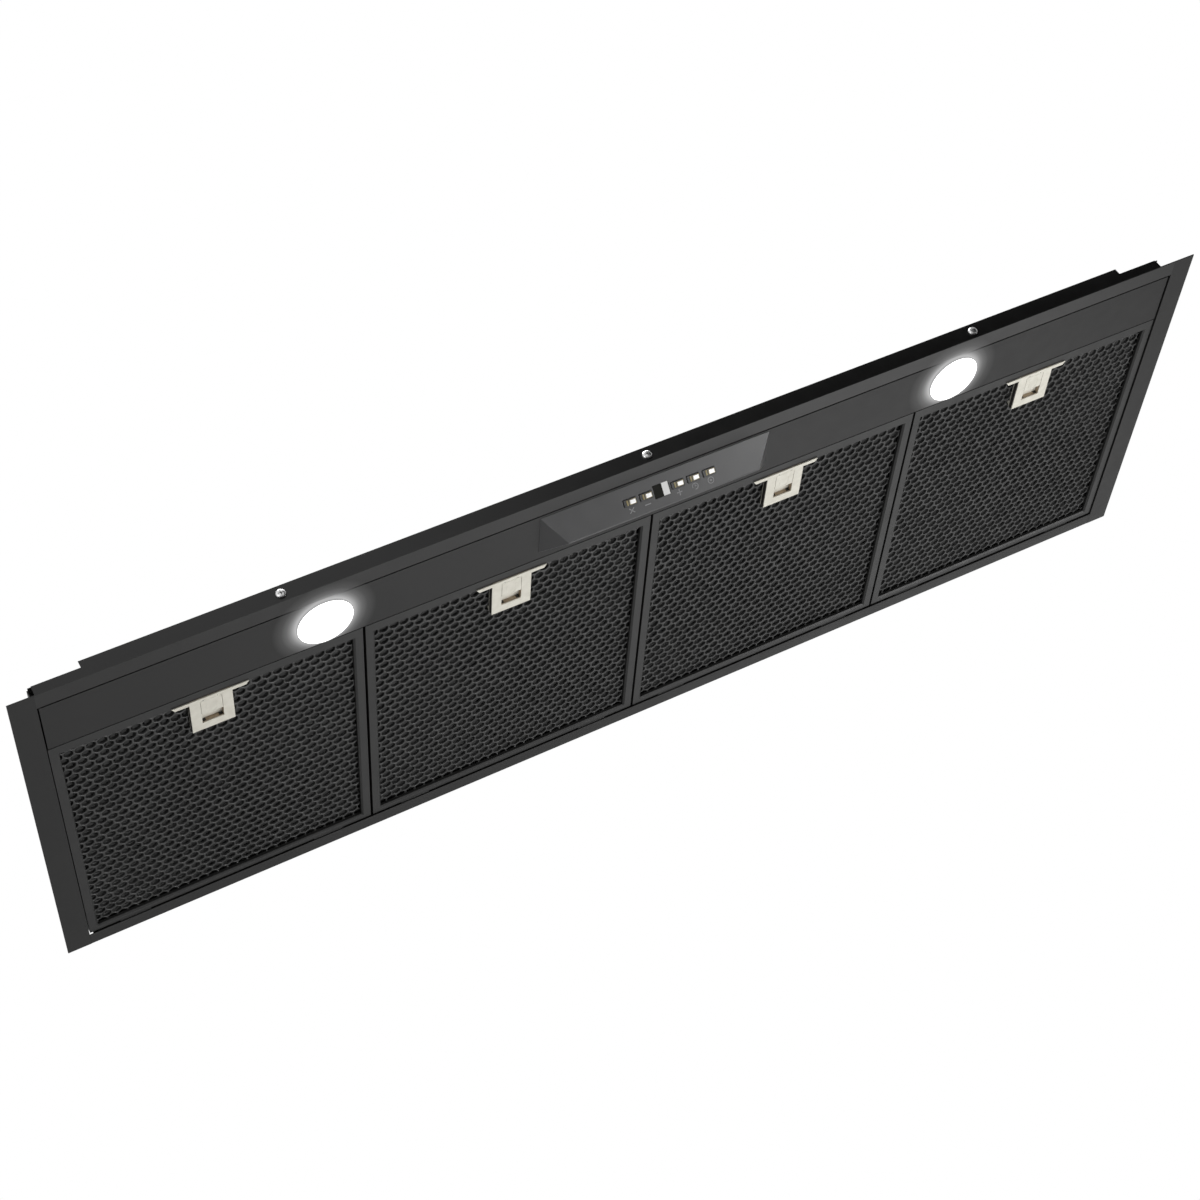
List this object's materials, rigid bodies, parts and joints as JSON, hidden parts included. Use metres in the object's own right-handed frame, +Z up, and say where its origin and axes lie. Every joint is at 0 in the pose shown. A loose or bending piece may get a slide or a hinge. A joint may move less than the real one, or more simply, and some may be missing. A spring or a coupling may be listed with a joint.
{
  "type": "undermount range hood",
  "caption": "Black undermount range hood: flanged mouth with hinged mesh grease filters, round lamps, a wedge control pod, and a sloped plenum with blower, damper collar and junction box.",
  "frame": {"origin": "centre of the flange's upper face, which seats against the underside of the cabinet", "axes": "+X along the front edge to the right, +Y to the rear, +Z up"},
  "size_m": [1.2, 0.39, 0.1972],
  "materials": {
    "black_paint": "satin powder coat",
    "screw_steel": "plated",
    "lamp_metal": "black anodised",
    "lamp_lens": "frosted, lit",
    "black_plastic": "moulded",
    "driver_plastic": "moulded",
    "pod_plastic": "satin",
    "button_chrome": "polished",
    "display_black": "gloss",
    "board_green": "solder mask",
    "filter_black": "black coated",
    "latch_cream": "moulded",
    "motor_steel": "machined",
    "galvanised": "galvanised"
  },
  "bodies": {
    "hood": {"left_rail": "black_paint", "right_rail": "black_paint", "front_rail": "black_paint", "rear_rail": "black_paint", "light_bar": "black_paint", "plenum_front": "black_paint", "plenum_top": "black_paint", "plenum_rear": "black_paint", "end_panel_left": "black_paint", "end_panel_right": "black_paint", "rear_ledge": "black_paint", "front_screws": "screw_steel", "lid_screws": "screw_steel", "lamp_body_left": "lamp_metal", "lamp_body_right": "lamp_metal", "lamp_lens_left": "lamp_lens", "lamp_lens_right": "lamp_lens", "scroll_wrap": "black_plastic", "scroll_plate_left": "black_plastic", "scroll_plate_right": "black_plastic", "duct_collar": "black_plastic", "collar_flange": "black_plastic", "cable_gland": "black_plastic", "lamp_lock_rings": "black_plastic", "lamp_driver": "driver_plastic", "junction_box": "driver_plastic", "junction_lid": "driver_plastic", "terminal_block": "driver_plastic", "control_pod": "pod_plastic", "display_window": "display_black", "control_board": "board_green", "motor": "motor_steel", "flap_pin": "motor_steel", "motor_bracket": "galvanised", "run_capacitor": "galvanised"},
    "blower_wheel": {"impeller": "black_plastic", "motor_shaft": "motor_steel"},
    "damper_front": {"damper_flap_front": "black_plastic"},
    "damper_rear": {"damper_flap_rear": "black_plastic"},
    "filter_1": {"filter_frame_1": "filter_black", "filter_mesh_1": "filter_black", "latch_plate_1": "latch_cream"},
    "latch_1": {"latch_slider_1": "latch_cream"},
    "filter_2": {"filter_frame_2": "filter_black", "filter_mesh_2": "filter_black", "latch_plate_2": "latch_cream"},
    "latch_2": {"latch_slider_2": "latch_cream"},
    "filter_3": {"filter_frame_3": "filter_black", "filter_mesh_3": "filter_black", "latch_plate_3": "latch_cream"},
    "latch_3": {"latch_slider_3": "latch_cream"},
    "filter_4": {"filter_frame_4": "filter_black", "filter_mesh_4": "filter_black", "latch_plate_4": "latch_cream"},
    "latch_4": {"latch_slider_4": "latch_cream"},
    "key_power": {"button_power": "button_chrome"},
    "key_minus": {"button_minus": "button_chrome"},
    "key_plus": {"button_plus": "button_chrome"},
    "key_timer": {"button_timer": "button_chrome"},
    "key_light": {"button_light": "button_chrome"}
  },
  "joints": [
    {"name": "filter_1_drop", "type": "hinge", "parent": "hood", "child": "filter_1", "pos_m": [-0.43294, 0.1799, 0], "axis": [1, 0, 0], "range_deg": [0, 70]},
    {"name": "latch_1_pull", "type": "slide", "parent": "filter_1", "child": "latch_1", "axis": [0, 1, 0], "range_m": [0, 0.005], "stiffness_N_per_m": 300},
    {"name": "filter_2_drop", "type": "hinge", "parent": "hood", "child": "filter_2", "pos_m": [-0.14431, 0.1799, 0], "axis": [1, 0, 0], "range_deg": [0, 70]},
    {"name": "latch_2_pull", "type": "slide", "parent": "filter_2", "child": "latch_2", "axis": [0, 1, 0], "range_m": [0, 0.005], "stiffness_N_per_m": 300},
    {"name": "filter_3_drop", "type": "hinge", "parent": "hood", "child": "filter_3", "pos_m": [0.14431, 0.1799, 0], "axis": [1, 0, 0], "range_deg": [0, 70]},
    {"name": "latch_3_pull", "type": "slide", "parent": "filter_3", "child": "latch_3", "axis": [0, 1, 0], "range_m": [0, 0.005], "stiffness_N_per_m": 300},
    {"name": "filter_4_drop", "type": "hinge", "parent": "hood", "child": "filter_4", "pos_m": [0.43294, 0.1799, 0], "axis": [1, 0, 0], "range_deg": [0, 70]},
    {"name": "latch_4_pull", "type": "slide", "parent": "filter_4", "child": "latch_4", "axis": [0, 1, 0], "range_m": [0, 0.005], "stiffness_N_per_m": 300},
    {"name": "press_power", "type": "slide", "parent": "hood", "child": "key_power", "axis": [0, 0.6497, 0.7602], "range_m": [0, 0.0012], "stiffness_N_per_m": 500},
    {"name": "press_minus", "type": "slide", "parent": "hood", "child": "key_minus", "axis": [0, 0.6497, 0.7602], "range_m": [0, 0.0012], "stiffness_N_per_m": 500},
    {"name": "press_plus", "type": "slide", "parent": "hood", "child": "key_plus", "axis": [0, 0.6497, 0.7602], "range_m": [0, 0.0012], "stiffness_N_per_m": 500},
    {"name": "press_timer", "type": "slide", "parent": "hood", "child": "key_timer", "axis": [0, 0.6497, 0.7602], "range_m": [0, 0.0012], "stiffness_N_per_m": 500},
    {"name": "press_light", "type": "slide", "parent": "hood", "child": "key_light", "axis": [0, 0.6497, 0.7602], "range_m": [0, 0.0012], "stiffness_N_per_m": 500},
    {"name": "blower_spin", "type": "hinge", "parent": "hood", "child": "blower_wheel", "pos_m": [0, 0.087, 0.071], "axis": [1, 0, 0], "continuous": true},
    {"name": "damper_front_lift", "type": "hinge", "parent": "hood", "child": "damper_front", "pos_m": [0, 0.094, 0.1518], "axis": [-1, 0, 0], "range_deg": [0, 75]},
    {"name": "damper_rear_lift", "type": "hinge", "parent": "hood", "child": "damper_rear", "pos_m": [0, 0.094, 0.1518], "axis": [1, 0, 0], "range_deg": [0, 75]}
  ]
}
